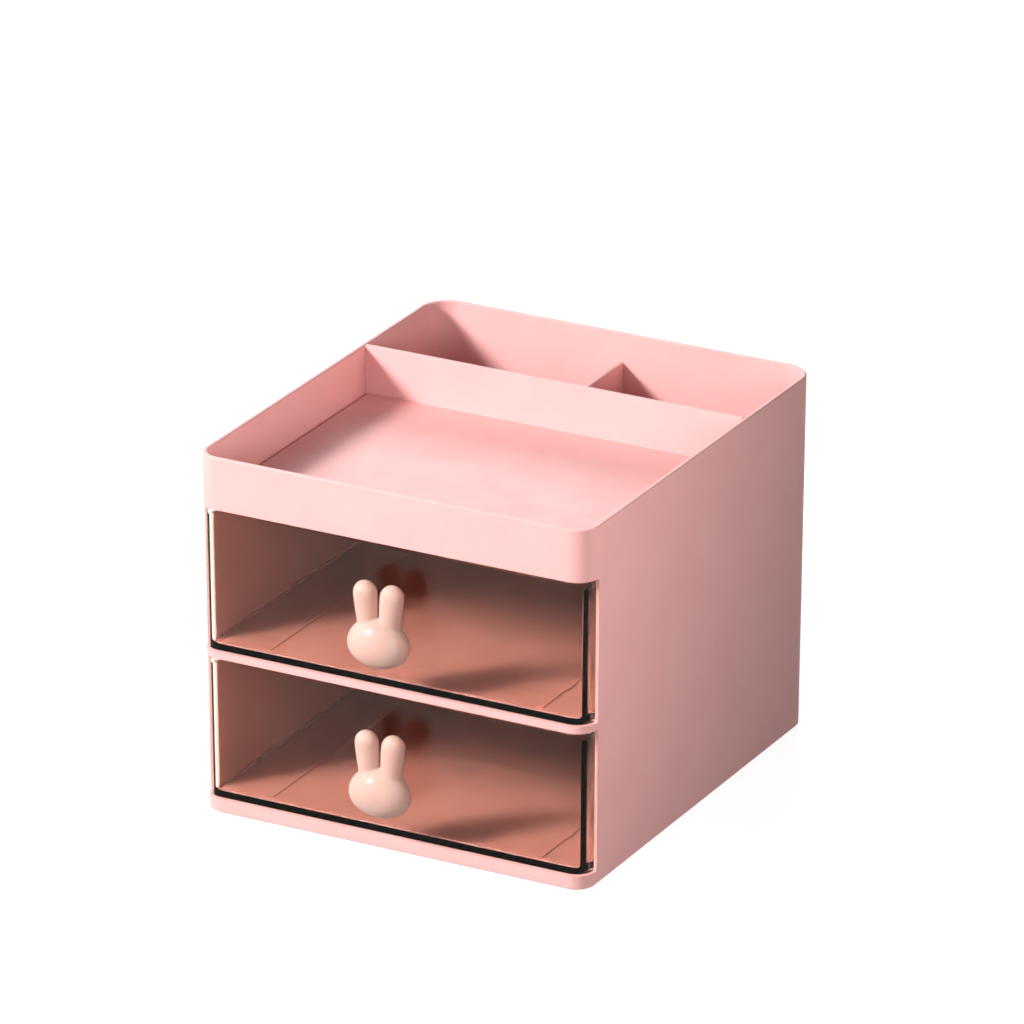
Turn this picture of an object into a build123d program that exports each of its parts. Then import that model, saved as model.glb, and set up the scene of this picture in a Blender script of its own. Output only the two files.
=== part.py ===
"""Desktop pen holder: a moulded case with two clear drawers, a shallow top tray and a deep pen well.

Millimetres. X runs across the front, Y from front to back and Z up. The origin lies on the surface
that the holder stands on, at the middle of its whole footprint, knobs included. The case is drafted:
its walls lean outwards by the same angle all round, and what they hold leans with them.
"""
from build123d import *
from math import cos, radians, sin, tan
import os

os.makedirs("parts", exist_ok=True)

# Case, with its width, depth and radii taken at its bottom edge
case_width = 170.0
case_depth = 193.4
draft_angle = 0.5
wall = 2.0
front_radius = 7.9
back_radius = 11.0
plinth_height = 5.7
base_thickness = 2.2
bay_height = 60.0
shelf_thickness = 3.0
band_height = 21.8
side_setback = 9.2
window_chamfer = 0.8
rim_chamfer = 0.5
skirt_chamfer = 0.4
cut_margin = 1.0

# Stiffening ribs under the base
rib_thickness = 1.5
rib_pitch = 40.0
ribs_across = 3
ribs_along = 3
rib_recess = 0.8

# Anti-slip pads
pad_radius = 6.0
pad_proud = 0.8
pad_socket = 0.8
pad_clearance = 0.1
pad_boss_wall = 1.4
pad_inset = 17.0

# Low rails that the drawers run on, and the ledges that carry the top tray
rail_width = 3.0
rail_height = 0.4
rail_spacing = 120.0
ledge_width = 1.6
ledge_height = 3.0

# Top tray with the pen divider
tray_floor = 1.5
tray_cove = 1.2
divider_from_front = 132.4
divider_thickness = 2.2
divider_chamfer = 0.4
insert_clearance = 0.1

# Cross divider in the pen well
cross_thickness = 2.0
cross_below_rim = 12.3

# Drawers
panel_inset = 0.4
panel_thickness = 2.2
panel_top_gap = 0.6
panel_chamfer = 0.4
return_gap = 1.3
running_gap = 0.3
tub_side_gap = 0.7
tub_back_gap = 1.5
tub_wall = 1.8
tub_floor = 1.5
tub_below_ledge = 1.0
tub_cove = 1.2

# Knobs: a plain animal head with two upright ears
knob_above_bay = 22.8
knob_standoff = 9.6
head_width = 26.6
head_depth = 16.0
head_height = 20.8
head_ease = 0.5
head_end_share = 0.8
ear_width = 10.0
ear_base_share = 0.82
ear_depth = 8.0
ear_ease = 0.5
ear_top_above = 25.4
ear_root_above = 5.0
ear_offset = 5.0
ear_splay = 4.0
boss_radius = 5.0

# Knob screws
screw_radius = 1.5
screw_length = 10.0
screw_head_radius = 3.2
screw_head_height = 2.0
screw_head_chamfer = 0.8
screw_hole_clearance = 0.4
screw_bore_clearance = 0.05
screw_bore_spare = 1.0
recess_length = 3.4
recess_width = 0.8
recess_depth = 1.0

# Heights worked out from the sizes above
case_bottom = pad_proud
base_top = case_bottom + plinth_height
shelf_bottom = base_top + bay_height
shelf_top = shelf_bottom + shelf_thickness
band_bottom = shelf_top + bay_height
rim_top = band_bottom + band_height
recess_height = plinth_height - base_thickness
panel_lift = rail_height + running_gap
panel_height = bay_height - panel_lift - panel_top_gap
tub_height = bay_height - panel_lift - ledge_height - tub_below_ledge


def lean(height):
    """How far the drafted walls have spread at this height."""
    return (height - case_bottom) * tan(radians(draft_angle))


# Places worked out from the sizes and heights above
front_reach = knob_standoff + head_depth / 2 - panel_inset + lean(shelf_top + knob_above_bay)
back_reach = lean(rim_top - rim_chamfer)
middle_y = (front_reach - back_reach) / 2
front_y = middle_y - case_depth / 2
back_y = middle_y + case_depth / 2
inner_width = case_width - 2 * wall
inner_back_y = back_y - wall
divider_y = front_y + divider_from_front
divider_back_y = divider_y + divider_thickness
rail_front_y = front_y + side_setback
bore_radius = screw_radius + screw_bore_clearance
bore_depth = screw_length - panel_thickness + screw_bore_spare


def rounded_plan(side_x, low_y, high_y, low_radius, high_radius):
    """Outline with straight sides and round corners, seen from above."""
    low_x = side_x - low_radius
    high_x = side_x - high_radius
    with BuildSketch() as plan:
        with BuildLine():
            Line((-low_x, low_y), (low_x, low_y))
            RadiusArc((low_x, low_y), (side_x, low_y + low_radius), -low_radius)
            Line((side_x, low_y + low_radius), (side_x, high_y - high_radius))
            RadiusArc((side_x, high_y - high_radius), (high_x, high_y), -high_radius)
            Line((high_x, high_y), (-high_x, high_y))
            RadiusArc((-high_x, high_y), (-side_x, high_y - high_radius), -high_radius)
            Line((-side_x, high_y - high_radius), (-side_x, low_y + low_radius))
            RadiusArc((-side_x, low_y + low_radius), (-low_x, low_y), -low_radius)
        make_face()
    return plan.sketch


def case_plan(inset, height):
    """Outline of the case at this height, seen from above, drawn in by the inset."""
    grown = lean(height) - inset
    corners = (front_radius + grown, back_radius + grown)
    return rounded_plan(case_width / 2 + grown, front_y - grown, back_y + grown, *corners)


def side_view(low, high, front, setback):
    """Leaning strip of the side view between two heights, from one setback to the other."""
    with BuildSketch() as strip:
        with BuildLine():
            Polyline(
                (front_y - lean(low) + front, low),
                (front_y - lean(low) + setback, low),
                (front_y - lean(high) + setback, high),
                (front_y - lean(high) + front, high),
                close=True,
            )
        make_face()
    return strip.sketch


def plate_plan(height, front_edge_y, thickness, clearance):
    """Section of an upright plate that fits between the leaning side walls."""
    with BuildSketch() as section:
        with Locations((0, front_edge_y)):
            width = inner_width + 2 * lean(height) - 2 * clearance
            Rectangle(width, thickness, align=(Align.CENTER, Align.MIN))
    return section.sketch


def knob_plane(bay_bottom, behind, direction):
    """Plane square to the knob's screw, this far behind the drawer's leaning front face."""
    height = bay_bottom + knob_above_bay
    rise = sin(radians(draft_angle))
    run = cos(radians(draft_angle))
    centre = (0, front_y + panel_inset - lean(height) + behind * run, height + behind * rise)
    return Plane(origin=centre, x_dir=(1, 0, 0), z_dir=(0, direction * run, direction * rise))


# Where the pads sit under the base
pad_places = [
    (side * (case_width / 2 - pad_inset), end * (case_depth / 2 - pad_inset) + middle_y)
    for end in (-1, 1)
    for side in (-1, 1)
]

# Case: one moulding with the side walls, back, front band, shelf and base
with BuildPart() as case:
    outside = (
        (case_bottom, skirt_chamfer),
        (case_bottom + skirt_chamfer, 0),
        (rim_top - rim_chamfer, 0),
        (rim_top, rim_chamfer),
    )
    for height, inset in outside:
        with BuildSketch(Plane.XY.offset(height)):
            add(case_plan(inset, height))
    loft(ruled=True)
    above_shelf = ((shelf_top, wall), (rim_top - rim_chamfer, wall), (rim_top, wall - rim_chamfer))
    for height, inset in above_shelf:
        with BuildSketch(Plane.XY.offset(height)):
            add(case_plan(inset, height))
    loft(ruled=True, mode=Mode.SUBTRACT)
    with BuildSketch(Plane.XY.offset(base_top)):
        add(case_plan(wall, base_top))
    extrude(amount=bay_height, taper=-draft_angle, mode=Mode.SUBTRACT)
    with BuildSketch(Plane.XY.offset(case_bottom)):
        add(case_plan(wall, case_bottom))
    extrude(amount=recess_height, taper=-draft_angle, mode=Mode.SUBTRACT)

    # The two windows run round the front corners, to the front edges of the side walls
    with BuildSketch(Plane.YZ) as windows:
        for bay_bottom in (base_top, shelf_top):
            add(side_view(bay_bottom, bay_bottom + bay_height, -cut_margin, side_setback))
        chamfer(windows.vertices().sort_by(Axis.X)[-4:], window_chamfer)
    extrude(amount=case_width, both=True, mode=Mode.SUBTRACT)

    # Ribs and pad bosses in the hollow under the base
    with BuildSketch(Plane.XY.offset(case_bottom + rib_recess)):
        with Locations((0, middle_y)):
            with GridLocations(rib_pitch, 0, ribs_along, 1):
                Rectangle(rib_thickness, case_depth - wall)
            with GridLocations(0, rib_pitch, 1, ribs_across):
                Rectangle(case_width - wall, rib_thickness)
    extrude(amount=recess_height - rib_recess)
    with BuildSketch(Plane.XY.offset(case_bottom)):
        with Locations(*pad_places):
            Circle(pad_radius + pad_clearance + pad_boss_wall)
    extrude(amount=recess_height)
    with BuildSketch(Plane.XY.offset(case_bottom)):
        with Locations(*pad_places):
            Circle(pad_radius + pad_clearance)
    extrude(amount=pad_socket, mode=Mode.SUBTRACT)

    # Rails under both drawers
    for bay_bottom, rail_end in ((base_top, inner_back_y), (shelf_top, divider_y - tub_back_gap)):
        with BuildSketch(Plane.XY.offset(bay_bottom)):
            with Locations((0, rail_front_y)):
                with GridLocations(rail_spacing, 0, 2, 1):
                    Rectangle(rail_width, rail_end - rail_front_y, align=(Align.CENTER, Align.MIN))
        extrude(amount=rail_height)

    # Ledges along the side walls, under the top tray
    with BuildSketch(Plane.XY.offset(band_bottom - ledge_height)):
        with Locations((0, rail_front_y)):
            ledge_run = divider_y - rail_front_y
            into_wall = case_width - wall + 2 * lean(band_bottom)
            Rectangle(into_wall, ledge_run, align=(Align.CENTER, Align.MIN))
            ledge_gap = inner_width + 2 * lean(band_bottom) - 2 * ledge_width
            Rectangle(ledge_gap, ledge_run, align=(Align.CENTER, Align.MIN), mode=Mode.SUBTRACT)
    extrude(amount=ledge_height)

# Top tray: the tray floor and the pen divider, which stands on the shelf
with BuildPart() as top_tray:
    with BuildSketch(Plane.XY.offset(band_bottom)):
        add(case_plan(wall + insert_clearance, band_bottom))
        with Locations((0, divider_back_y)):
            Rectangle(case_width * 2, case_depth, align=(Align.CENTER, Align.MIN), mode=Mode.SUBTRACT)
    extrude(amount=tray_floor)
    for height in (shelf_top, rim_top):
        with BuildSketch(Plane.XY.offset(height)):
            add(plate_plan(height, divider_y, divider_thickness, insert_clearance))
    loft(ruled=True)
    floor_level = top_tray.edges().filter_by(Axis.X).filter_by_position(
        Axis.Z, band_bottom + tray_floor, band_bottom + tray_floor
    )
    chamfer(floor_level.sort_by(Axis.Y)[-1], tray_cove)
    chamfer(top_tray.edges().filter_by(Axis.X).group_by(Axis.Z)[-1], divider_chamfer)

# Cross divider: an upright plate that halves the pen well
with BuildPart() as cross_divider:
    plate_front_y = divider_back_y + insert_clearance
    for height in (shelf_top, rim_top - cross_below_rim):
        with BuildSketch(Plane.XY.offset(height)):
            with Locations((0, plate_front_y)):
                plate_length = inner_back_y + lean(height) - insert_clearance - plate_front_y
                Rectangle(cross_thickness, plate_length, align=(Align.CENTER, Align.MIN))
    loft(ruled=True)
    chamfer(cross_divider.edges().filter_by(Axis.Y).group_by(Axis.Z)[-1], divider_chamfer)


def tub_plan(height, back_limit_y, side_inset, front_inset):
    """Outline of the drawer's tub at this height: it ends at the inset outline of the case."""
    grown = lean(height) - side_inset - tub_side_gap
    tub_corner = back_radius - wall + grown
    tub_back_y = back_limit_y - tub_back_gap + lean(height) - side_inset
    with BuildSketch() as outline:
        ends = (front_y - tub_corner * 2, tub_back_y)
        add(rounded_plan(inner_width / 2 + grown, *ends, tub_corner, tub_corner))
        add(case_plan(front_inset, height), mode=Mode.INTERSECT)
    return outline.sketch


def build_drawer(bay_bottom, back_limit_y):
    """Clear tub with a front that wraps round both corners of the case."""
    floor_bottom = bay_bottom + panel_lift
    floor_top = floor_bottom + tub_floor
    panel_top = floor_bottom + panel_height
    tub_top = floor_bottom + tub_height
    with BuildPart() as drawer:
        panel_edge = panel_top - panel_chamfer
        for height, inset in ((floor_bottom, 0), (panel_edge, 0), (panel_top, panel_chamfer)):
            with BuildSketch(Plane.XY.offset(height)):
                add(case_plan(panel_inset + inset, height))
        loft(ruled=True)
        for height in (floor_bottom, panel_top):
            with BuildSketch(Plane.XY.offset(height)):
                add(case_plan(panel_inset + panel_thickness, height))
        loft(ruled=True, mode=Mode.SUBTRACT)
        with BuildSketch(Plane.YZ):
            add(side_view(floor_bottom, panel_top, side_setback - return_gap, case_depth * 2))
        extrude(amount=case_width, both=True, mode=Mode.SUBTRACT)
        for height in (floor_bottom, tub_top):
            with BuildSketch(Plane.XY.offset(height)):
                add(tub_plan(height, back_limit_y, 0, panel_inset))
        loft(ruled=True)
        for height, cove in ((floor_top, tub_cove), (floor_top + tub_cove, 0), (tub_top, 0)):
            with BuildSketch(Plane.XY.offset(height)):
                front_inset = panel_inset + panel_thickness + cove
                add(tub_plan(height, back_limit_y, tub_wall + cove, front_inset))
        loft(ruled=True, mode=Mode.SUBTRACT)
        with Locations(knob_plane(bay_bottom, 0, -1)):
            Hole(radius=screw_radius + screw_hole_clearance, depth=panel_thickness)
    return drawer


def oval(length, width):
    """Oval of four arcs that run into each other, long along X."""
    end_radius = width / 2 * head_end_share
    end_centre = (length - 2 * end_radius) / 2
    side_radius = (end_centre**2 + (width / 2) ** 2 - end_radius**2) / (width - 2 * end_radius)
    side_centre = side_radius - width / 2
    reach = side_radius / (side_radius - end_radius)
    join_x = end_centre * reach
    join_y = side_centre * reach - side_centre
    with BuildSketch() as outline:
        with BuildLine():
            ThreePointArc((-join_x, join_y), (0, width / 2), (join_x, join_y))
            ThreePointArc((join_x, join_y), (length / 2, 0), (join_x, -join_y))
            ThreePointArc((join_x, -join_y), (0, -width / 2), (-join_x, -join_y))
            ThreePointArc((-join_x, -join_y), (-length / 2, 0), (-join_x, join_y))
        make_face()
    return outline.sketch


def ear_outline(width, length):
    """Ear seen square on, from its root at the origin: it widens, then ends in a half round."""
    half = width / 2
    root = half * ear_base_share
    with BuildSketch() as outline:
        with BuildLine():
            Polyline((half, length - half), (root, 0), (-root, 0), (-half, length - half))
            ThreePointArc((-half, length - half), (0, length), (half, length - half))
        make_face()
    return outline.sketch


def build_head():
    """Head rounded in all three views, centred on the origin."""
    with BuildPart() as head:
        with BuildSketch():
            add(oval(head_width, head_height))
        extrude(amount=head_depth, both=True)
        with BuildSketch(Plane.XZ):
            add(oval(head_width + head_ease, head_depth))
        extrude(amount=head_height, both=True, mode=Mode.INTERSECT)
        with BuildSketch(Plane.YZ):
            add(oval(head_height + 2 * head_ease, head_depth + head_ease))
        extrude(amount=head_width, both=True, mode=Mode.INTERSECT)
    return head.part


def build_ear():
    """Ear rounded in all three views, from its root at the origin."""
    ear_length = ear_top_above - ear_root_above
    with BuildPart() as ear:
        with BuildSketch():
            add(ear_outline(ear_width, ear_length))
        extrude(amount=ear_depth, both=True)
        with BuildSketch(Plane.XZ):
            add(oval(ear_width + ear_ease, ear_depth))
        extrude(amount=-ear_top_above, mode=Mode.INTERSECT)
        with BuildSketch(Plane.YZ):
            with Locations(Location((0, 0), -90)):
                add(ear_outline(ear_depth + ear_ease, ear_length + ear_ease))
        extrude(amount=ear_width, both=True, mode=Mode.INTERSECT)
    return ear.part


head_form = build_head()
ear_form = build_ear()

# Knob about the centre of its head, with +Y up and +Z away from the drawer
with BuildPart() as knob_form:
    add(head_form)
    for side in (-1, 1):
        with Locations(Location((side * ear_offset, ear_root_above, 0), (0, 0, -side * ear_splay))):
            add(ear_form)
    with BuildSketch(Plane.XY.offset(-knob_standoff)):
        Circle(boss_radius)
    extrude(amount=knob_standoff)
    with BuildSketch(Plane.XY.offset(-knob_standoff)):
        Circle(bore_radius)
    extrude(amount=bore_depth, mode=Mode.SUBTRACT)

# Pan-head screw with its seat at the origin and its head along +Z
with BuildPart() as screw_form:
    with BuildSketch():
        Circle(screw_head_radius)
    extrude(amount=screw_head_height)
    chamfer(screw_form.edges().sort_by(Axis.Z)[-1], screw_head_chamfer)
    with BuildSketch():
        Circle(screw_radius)
    extrude(amount=-screw_length)
    with BuildSketch(Plane.XY.offset(screw_head_height)):
        Rectangle(recess_length, recess_width)
        Rectangle(recess_width, recess_length)
    extrude(amount=-recess_depth, mode=Mode.SUBTRACT)


def place_form(form, plane):
    """The finished form, set on this plane."""
    with BuildPart() as placed:
        with Locations(plane):
            add(form.part)
    return placed


pieces = {
    "case": case,
    "top_tray": top_tray,
    "cross_divider": cross_divider,
    "upper_drawer": build_drawer(shelf_top, divider_y),
    "lower_drawer": build_drawer(base_top, inner_back_y),
    "upper_knob": place_form(knob_form, knob_plane(shelf_top, -knob_standoff, -1)),
    "lower_knob": place_form(knob_form, knob_plane(base_top, -knob_standoff, -1)),
    "upper_knob_screw": place_form(screw_form, knob_plane(shelf_top, panel_thickness, 1)),
    "lower_knob_screw": place_form(screw_form, knob_plane(base_top, panel_thickness, 1)),
}

pad_names = ("pad_front_left", "pad_front_right", "pad_back_left", "pad_back_right")
for pad_name, place in zip(pad_names, pad_places):
    with BuildPart() as pad:
        with BuildSketch():
            with Locations(place):
                Circle(pad_radius)
        extrude(amount=pad_proud + pad_socket)
    pieces[pad_name] = pad

for name, piece in pieces.items():
    piece.part.label = name
    export_step(piece.part, f"parts/{name}.step")
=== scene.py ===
"""Looks of the pen holder: materials, knobs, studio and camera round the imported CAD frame."""

import math

import bmesh
import bpy
from mathutils import Matrix, Vector


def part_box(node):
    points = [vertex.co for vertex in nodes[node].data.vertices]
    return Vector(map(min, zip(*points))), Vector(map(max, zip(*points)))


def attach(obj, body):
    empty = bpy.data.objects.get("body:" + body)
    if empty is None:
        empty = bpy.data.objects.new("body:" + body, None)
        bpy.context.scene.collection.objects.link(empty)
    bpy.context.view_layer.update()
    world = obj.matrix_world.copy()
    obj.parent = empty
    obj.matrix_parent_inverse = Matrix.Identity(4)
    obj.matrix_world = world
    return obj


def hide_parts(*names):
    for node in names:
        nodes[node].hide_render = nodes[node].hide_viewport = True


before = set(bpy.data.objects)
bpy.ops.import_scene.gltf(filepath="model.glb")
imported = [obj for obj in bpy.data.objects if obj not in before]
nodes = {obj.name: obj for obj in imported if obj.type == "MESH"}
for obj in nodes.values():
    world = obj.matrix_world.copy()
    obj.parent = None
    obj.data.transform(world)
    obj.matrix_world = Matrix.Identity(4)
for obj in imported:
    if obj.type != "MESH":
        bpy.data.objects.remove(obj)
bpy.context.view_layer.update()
mm = 0.001

# Places taken from the CAD
case_low, case_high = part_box("case")
case_middle = (case_low + case_high) / 2

# Widest rounding of each kind of piece's edges. The bevel's clamp holds it back where edges are
# short: on the case, the tray and the drawers to under 0.03 mm.
moulding_round = 0.25 * mm
screw_round = 0.12 * mm
pad_round = 0.3 * mm

# Knob
head_half_width = 13.2 * mm
head_half_depth = 7.9 * mm
head_half_height = 10.4 * mm
head_fullness = 0.07
head_front_gap = 0.08 * mm
head_bottom_gap = 0.05 * mm
ear_place = Vector((4.5 * mm, 0.2 * mm, 5.0 * mm))
ear_lean = math.radians(5.4)
ear_base = 4.4 * mm
ear_wide = 4.95 * mm
ear_depth_share = 0.8
ear_shoulder_share = 0.74
ear_top_gap = 0.35 * mm
boss_radius = 5.0 * mm
boss_rows = 5
blend_voxel = 0.35 * mm
blend_steps = 14

# Studio
floor_half = 6.0
floor_drop = 0.1 * mm
world_level = 0.10
object_middle = (0.0, 0.0, 0.07)
narrow_spread = 64.0


# Camera
def add_camera():
    """The camera fitted to the photograph. Its place is given from the case's middle and bottom."""
    right = Vector((0.882715, 0.469906, 0.001272)).normalized()
    up = Vector((-0.178071, 0.331998, 0.92632)).normalized()
    back = right.cross(up).normalized()
    up = back.cross(right).normalized()
    data = bpy.data.cameras.new("photo_camera")
    data.lens = 316.392
    data.sensor_width = 36.0
    data.clip_start = 0.1
    data.clip_end = 50.0
    camera = bpy.data.objects.new("photo_camera", data)
    bpy.context.scene.collection.objects.link(camera)
    place = Vector((1.54249, -2.89872 + case_middle.y, 1.44301 + case_low.z))
    turned = Matrix((right, up, back)).transposed().to_4x4()
    camera.matrix_world = Matrix.Translation(place) @ turned
    bpy.context.scene.camera = camera


# Materials
def new_material(name):
    material = bpy.data.materials.new(name)
    material.use_nodes = True
    tree = material.node_tree
    shader = tree.nodes["Principled BSDF"]
    return material, tree, shader


def add_noise(tree, scale, detail=2.0, roughness=0.5):
    """Noise in the object's own metres."""
    place = tree.nodes.new("ShaderNodeTexCoord")
    noise = tree.nodes.new("ShaderNodeTexNoise")
    noise.inputs["Scale"].default_value = scale
    noise.inputs["Detail"].default_value = detail
    noise.inputs["Roughness"].default_value = roughness
    tree.links.new(place.outputs["Object"], noise.inputs["Vector"])
    return noise


def add_polish(tree, shader, source, low, high):
    """Spreads the noise's middle part over a range of roughness."""
    ranged = tree.nodes.new("ShaderNodeMapRange")
    ranged.inputs["From Min"].default_value = 0.3
    ranged.inputs["From Max"].default_value = 0.7
    ranged.inputs["To Min"].default_value = low
    ranged.inputs["To Max"].default_value = high
    tree.links.new(source.outputs["Fac"], ranged.inputs["Value"])
    tree.links.new(ranged.outputs["Result"], shader.inputs["Roughness"])


def add_tint(tree, shader, source, first, second):
    """Blends two close colours by the noise, for the mottling of a moulded surface."""
    ramp = tree.nodes.new("ShaderNodeValToRGB")
    ramp.color_ramp.elements[0].position = 0.35
    ramp.color_ramp.elements[0].color = (*first, 1.0)
    ramp.color_ramp.elements[1].position = 0.65
    ramp.color_ramp.elements[1].color = (*second, 1.0)
    tree.links.new(source.outputs["Fac"], ramp.inputs["Fac"])
    tree.links.new(ramp.outputs["Color"], shader.inputs["Base Color"])


def add_bump(tree, shader, source, strength, distance, previous=None):
    """Bump from the noise. It adds to the previous bump, if there is one."""
    bump = tree.nodes.new("ShaderNodeBump")
    bump.inputs["Strength"].default_value = strength
    bump.inputs["Distance"].default_value = distance
    tree.links.new(source.outputs["Fac"], bump.inputs["Height"])
    if previous is not None:
        tree.links.new(previous.outputs["Normal"], bump.inputs["Normal"])
    tree.links.new(bump.outputs["Normal"], shader.inputs["Normal"])
    return bump


def set_values(shader, values):
    for socket, value in values.items():
        shader.inputs[socket].default_value = value


def srgb(red, green, blue):
    """Linear colour of an 8-bit display colour."""
    shares = (value / 255 for value in (red, green, blue))
    return tuple(
        share / 12.92 if share <= 0.04045 else ((share + 0.055) / 1.055) ** 2.4
        for share in shares
    )


def pink_plastic():
    material, tree, shader = new_material("pink_plastic")
    mottle = add_noise(tree, 45.0, 3.0)
    add_tint(tree, shader, mottle, srgb(237, 180, 178), srgb(239, 184, 182))
    add_polish(tree, shader, add_noise(tree, 110.0), 0.44, 0.52)
    set_values(shader, {
        "Specular IOR Level": 0.2,
        "Subsurface Weight": 0.12,
        "Subsurface Radius": (1.0, 0.5, 0.4),
        "Subsurface Scale": 0.0012,
    })
    flow = add_bump(tree, shader, add_noise(tree, 22.0, 1.0), 0.03, 0.0004)
    add_bump(tree, shader, add_noise(tree, 2600.0, 2.0, 0.6), 0.10, 0.00004, flow)
    return material


def clear_plastic():
    """Clear plastic that lets lamps through without bending, so that the inside is lit evenly."""
    material, tree, shader = new_material("clear_plastic")
    haze = add_noise(tree, 60.0)
    add_tint(tree, shader, haze, srgb(246, 234, 225), srgb(248, 237, 229))
    add_polish(tree, shader, add_noise(tree, 300.0, 3.0), 0.010, 0.035)
    set_values(shader, {
        "Transmission Weight": 1.0,
        "IOR": 1.15,
        "Coat Weight": 0.12,
        "Coat Roughness": 0.03,
    })
    add_bump(tree, shader, add_noise(tree, 30.0, 1.0), 0.05, 0.0002)
    light_path = tree.nodes.new("ShaderNodeLightPath")
    passing = tree.nodes.new("ShaderNodeBsdfTransparent")
    passing.inputs["Color"].default_value = (0.63, 0.62, 0.60, 1.0)
    mix = tree.nodes.new("ShaderNodeMixShader")
    tree.links.new(light_path.outputs["Is Shadow Ray"], mix.inputs["Fac"])
    tree.links.new(shader.outputs["BSDF"], mix.inputs[1])
    tree.links.new(passing.outputs["BSDF"], mix.inputs[2])
    tree.links.new(mix.outputs["Shader"], tree.nodes["Material Output"].inputs["Surface"])
    return material


def knob_plastic():
    material, tree, shader = new_material("knob_plastic")
    mottle = add_noise(tree, 90.0)
    add_tint(tree, shader, mottle, srgb(210, 175, 163), srgb(213, 179, 168))
    add_polish(tree, shader, add_noise(tree, 260.0), 0.48, 0.56)
    set_values(shader, {
        "Specular IOR Level": 0.2,
        "Subsurface Weight": 0.85,
        "Subsurface Radius": (1.0, 0.45, 0.3),
        "Subsurface Scale": 0.009,
        "Coat Weight": 0.16,
        "Coat Roughness": 0.075,
    })
    add_bump(tree, shader, add_noise(tree, 140.0, 1.0), 0.05, 0.0001)
    return material


def screw_steel():
    material, tree, shader = new_material("screw_steel")
    mottle = add_noise(tree, 900.0, 3.0)
    add_tint(tree, shader, mottle, (0.52, 0.52, 0.54), (0.60, 0.60, 0.61))
    add_polish(tree, shader, add_noise(tree, 1800.0), 0.22, 0.38)
    set_values(shader, {"Metallic": 1.0})
    add_bump(tree, shader, mottle, 0.1, 0.00002)
    return material


def pad_rubber():
    material, tree, shader = new_material("pad_rubber")
    mottle = add_noise(tree, 300.0, 3.0)
    add_tint(tree, shader, mottle, srgb(206, 200, 194), srgb(214, 208, 203))
    add_polish(tree, shader, mottle, 0.70, 0.85)
    add_bump(tree, shader, add_noise(tree, 2200.0, 3.0), 0.25, 0.00006)
    return material


# CAD nodes: softened edges and their materials
def soften(node, width):
    """Rounds the node's edges a little. The mesh itself is untouched."""
    piece = nodes[node]
    weld = piece.modifiers.new("weld", "WELD")
    weld.merge_threshold = 0.002 * mm
    flat = piece.modifiers.new("flat", "DECIMATE")
    flat.decimate_type = "DISSOLVE"
    flat.angle_limit = math.radians(0.3)
    bevel = piece.modifiers.new("bevel", "BEVEL")
    bevel.width = width
    bevel.segments = 3
    bevel.limit_method = "ANGLE"
    bevel.angle_limit = math.radians(24)
    bevel.harden_normals = False
    bevel.use_clamp_overlap = True
    for face in piece.data.polygons:
        face.use_smooth = True
    normals = piece.modifiers.new("normals", "WEIGHTED_NORMAL")
    normals.keep_sharp = False
    normals.weight = 80


def dress(names, material, width):
    for name in names:
        piece = nodes[name]
        piece.data.materials.clear()
        piece.data.materials.append(material)
        soften(name, width)


# Knobs, with the ears blended into the head
def add_lathe(mesh, place, sections, sides=48):
    """Closed rounded form through oval sections given as height, half width and half depth."""
    rows = []
    for height, half_width, half_depth in sections:
        row = []
        for step in range(sides):
            angle = 2 * math.pi * step / sides
            spot = (half_width * math.cos(angle), half_depth * math.sin(angle), height)
            row.append(mesh.verts.new(place @ Vector(spot)))
        rows.append(row)
    for low, high in zip(rows[:-1], rows[1:]):
        for step in range(sides):
            after = (step + 1) % sides
            mesh.faces.new((low[step], low[after], high[after], high[step]))
    mesh.faces.new(list(reversed(rows[0])))
    mesh.faces.new(rows[-1])


def head_sections(steps=30):
    """Oval sections from the bottom to the top, fuller in the lower half."""
    rows = []
    for step in range(steps + 1):
        angle = math.radians(2 + 176 * step / steps)
        full = math.sin(angle) * (1 + head_fullness * math.sin(angle) * math.cos(angle))
        height = -head_half_height * math.cos(angle)
        rows.append((height, head_half_width * full, head_half_depth * full))
    return rows


def ear_sections(length, steps=18):
    """Oval sections that widen up to the shoulder and close in a round tip."""
    shoulder = length * ear_shoulder_share
    rows = []
    for step in range(steps):
        height = shoulder * step / steps
        widening = math.sin(math.radians(90 * height / shoulder)) ** 2
        half = ear_base + (ear_wide - ear_base) * widening
        rows.append((height, half, half * ear_depth_share))
    for step in range(steps + 1):
        angle = math.radians(88 * step / steps)
        height = shoulder + (length - shoulder) * math.sin(angle)
        half = ear_wide * math.cos(angle)
        rows.append((height, half, half * ear_depth_share))
    return rows


def blended(source):
    """The closed forms of the source merged into one smooth skin."""
    remesh = source.modifiers.new("remesh", "REMESH")
    remesh.mode = "VOXEL"
    remesh.voxel_size = blend_voxel
    remesh.use_smooth_shade = True
    smooth = source.modifiers.new("smooth", "SMOOTH")
    smooth.factor = 0.5
    smooth.iterations = blend_steps
    evaluated = source.evaluated_get(bpy.context.evaluated_depsgraph_get())
    skin = bpy.data.meshes.new_from_object(evaluated)
    source.modifiers.clear()
    for face in skin.polygons:
        face.use_smooth = True
    return skin


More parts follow.
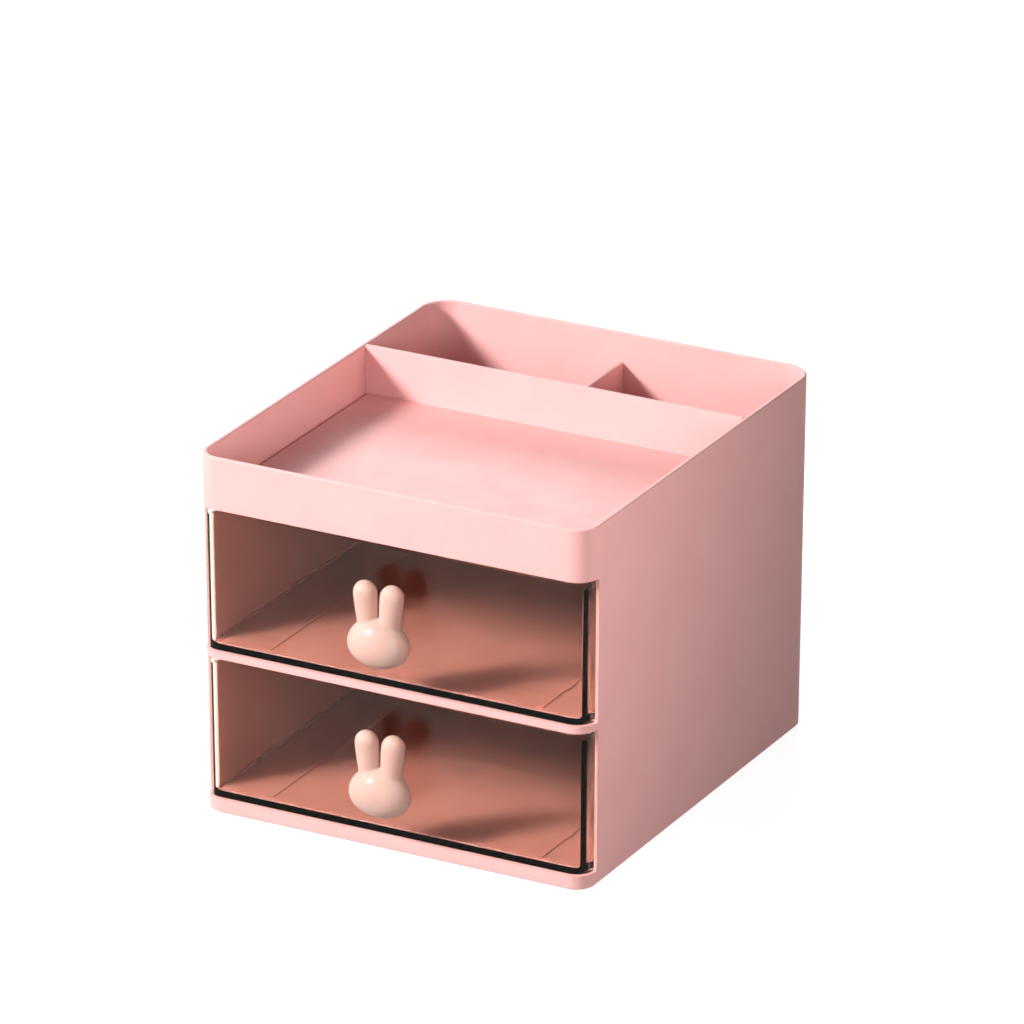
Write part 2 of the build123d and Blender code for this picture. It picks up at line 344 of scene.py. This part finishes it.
def add_knob(name, node, body, material):
    """Head, two ears and the boss that meets the drawer front, in place of the CAD knob."""
    low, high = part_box(node)
    centre = Vector((
        (low.x + high.x) / 2,
        low.y + head_half_depth + head_front_gap,
        low.z + head_half_height + head_bottom_gap,
    ))
    mesh = bmesh.new()
    add_lathe(mesh, Matrix.Translation(centre), head_sections())
    for side in (-1, 1):
        root = centre + Vector((side * ear_place.x, ear_place.y, ear_place.z))
        lean = Matrix.Rotation(side * ear_lean, 4, "Y")
        sections = ear_sections(high.z - root.z - ear_top_gap)
        add_lathe(mesh, Matrix.Translation(root) @ lean, sections)
    boss_length = high.y - centre.y
    steps = [step / (boss_rows - 1) for step in range(boss_rows)]
    boss = [((share - 1) * boss_length, boss_radius, boss_radius) for share in steps]
    backwards = Matrix.Rotation(math.radians(90), 4, "X")
    add_lathe(mesh, Matrix.Translation(centre) @ backwards, boss)
    data = bpy.data.meshes.new(name)
    mesh.to_mesh(data)
    mesh.free()
    knob = bpy.data.objects.new(name, data)
    bpy.context.scene.collection.objects.link(knob)
    knob.data = blended(knob)
    knob.data.materials.clear()
    knob.data.materials.append(material)
    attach(knob, body)
    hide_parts(node)


# Studio
def add_maths(tree, operation, first, second):
    """Result of a Math node. The second operand is a socket or a number."""
    node = tree.nodes.new("ShaderNodeMath")
    node.operation = operation
    tree.links.new(first, node.inputs[0])
    if isinstance(second, float):
        node.inputs[1].default_value = second
    else:
        tree.links.new(second, node.inputs[1])
    return node.outputs["Value"]


def background_rays(tree):
    """1 for the rays that see the background: camera, glossy and transmission rays.

    It is 0 after a diffuse bounce, so that the background doesn't light what stands behind
    clear plastic.
    """
    path = tree.nodes.new("ShaderNodeLightPath").outputs
    mirrored = add_maths(tree, "MAXIMUM", path["Is Camera Ray"], path["Is Glossy Ray"])
    seeing = add_maths(tree, "MAXIMUM", mirrored, path["Is Transmission Ray"])
    direct = add_maths(tree, "LESS_THAN", path["Diffuse Depth"], 0.5)
    return add_maths(tree, "MULTIPLY", seeing, direct)


def floor_material():
    """White for the rays that see the background, apart from the object's faint shadow.

    For all other rays it is a warm grey that glows a little, so that the underside isn't black.
    Seen from under, it is clear, so that the underside can be looked at.
    """
    material, tree, shader = new_material("floor")
    paper = add_noise(tree, 3.0)
    add_tint(tree, shader, paper, (0.17, 0.135, 0.115), (0.19, 0.15, 0.13))
    set_values(shader, {
        "Roughness": 0.9,
        "Specular IOR Level": 0.1,
        "Emission Color": (1.0, 0.9, 0.85, 1.0),
        "Emission Strength": 0.06,
    })
    glow = tree.nodes.new("ShaderNodeEmission")
    glow.inputs["Strength"].default_value = 0.88
    shaded = tree.nodes.new("ShaderNodeBsdfDiffuse")
    shaded.inputs["Color"].default_value = (0.4, 0.4, 0.4, 1.0)
    white = tree.nodes.new("ShaderNodeAddShader")
    tree.links.new(glow.outputs["Emission"], white.inputs[0])
    tree.links.new(shaded.outputs["BSDF"], white.inputs[1])
    from_above = tree.nodes.new("ShaderNodeMixShader")
    tree.links.new(background_rays(tree), from_above.inputs["Fac"])
    tree.links.new(shader.outputs["BSDF"], from_above.inputs[1])
    tree.links.new(white.outputs["Shader"], from_above.inputs[2])
    side = tree.nodes.new("ShaderNodeNewGeometry")
    through = tree.nodes.new("ShaderNodeBsdfTransparent")
    one_sided = tree.nodes.new("ShaderNodeMixShader")
    tree.links.new(side.outputs["Backfacing"], one_sided.inputs["Fac"])
    tree.links.new(from_above.outputs["Shader"], one_sided.inputs[1])
    tree.links.new(through.outputs["BSDF"], one_sided.inputs[2])
    tree.links.new(one_sided.outputs["Shader"], tree.nodes["Material Output"].inputs["Surface"])
    return material


def add_floor():
    """Plain floor, a little under the pads."""
    mesh = bmesh.new()
    corners = ((-1, -1), (1, -1), (1, 1), (-1, 1))
    mesh.faces.new([
        mesh.verts.new((x * floor_half, y * floor_half, -floor_drop)) for x, y in corners
    ])
    data = bpy.data.meshes.new("floor")
    mesh.to_mesh(data)
    mesh.free()
    floor = bpy.data.objects.new("floor", data)
    bpy.context.scene.collection.objects.link(floor)
    data.materials.append(floor_material())


def add_world(level):
    """Soft light from all sides, and white for the rays that see the background."""
    world = bpy.data.worlds.new("studio")
    bpy.context.scene.world = world
    world.use_nodes = True
    tree = world.node_tree
    soft = tree.nodes["Background"]
    soft.inputs["Color"].default_value = (1.0, 0.985, 0.975, 1.0)
    soft.inputs["Strength"].default_value = level
    white = tree.nodes.new("ShaderNodeBackground")
    white.inputs["Color"].default_value = (1.0, 1.0, 1.0, 1.0)
    white.inputs["Strength"].default_value = 1.0
    mix = tree.nodes.new("ShaderNodeMixShader")
    tree.links.new(background_rays(tree), mix.inputs["Fac"])
    tree.links.new(soft.outputs["Background"], mix.inputs[1])
    tree.links.new(white.outputs["Background"], mix.inputs[2])
    tree.links.new(mix.outputs["Shader"], tree.nodes["World Output"].inputs["Surface"])


def add_lamp(name, place, target, size, power, colour=(1.0, 1.0, 1.0), spread=180.0):
    """Square area lamp that faces its target."""
    data = bpy.data.lights.new(name, "AREA")
    data.spread = math.radians(spread)
    data.shape = "RECTANGLE"
    data.size = size
    data.size_y = size
    data.energy = power
    data.color = colour
    lamp = bpy.data.objects.new(name, data)
    bpy.context.scene.collection.objects.link(lamp)
    lamp.location = place
    lamp.rotation_mode = "QUATERNION"
    facing = Vector(target) - Vector(place)
    lamp.rotation_quaternion = facing.to_track_quat("-Z", "Y")


pink = pink_plastic()
clear = clear_plastic()
peach = knob_plastic()
steel = screw_steel()
rubber = pad_rubber()

dress(("case", "top_tray", "cross_divider"), pink, moulding_round)
dress(("upper_drawer", "lower_drawer"), clear, moulding_round)
dress(("upper_knob_screw", "lower_knob_screw"), steel, screw_round)
dress([name for name in nodes if name.startswith("pad_")], rubber, pad_round)

add_knob("upper_knob_form", "upper_knob", "upper_drawer", peach)
add_knob("lower_knob_form", "lower_knob", "lower_drawer", peach)

add_floor()
add_world(world_level)
add_lamp("key", (-1.09, -1.36, 1.04), object_middle, 0.36, 57.0, (1.0, 0.99, 0.975))
add_lamp(
    "fill", (0.8, 0.05, 0.3), (0.086, -0.27, 0.26), 0.3, 0.64, (1.0, 0.88, 0.85), narrow_spread
)
add_lamp("front", (0.75, -1.1, 0.5), (0.0, -0.22, 0.1), 0.4, 0.8, spread=narrow_spread)
add_lamp("back", (-0.9, 1.7, 1.1), object_middle, 0.9, 15.0)

add_camera()
bpy.context.scene.view_settings.view_transform = "Standard"
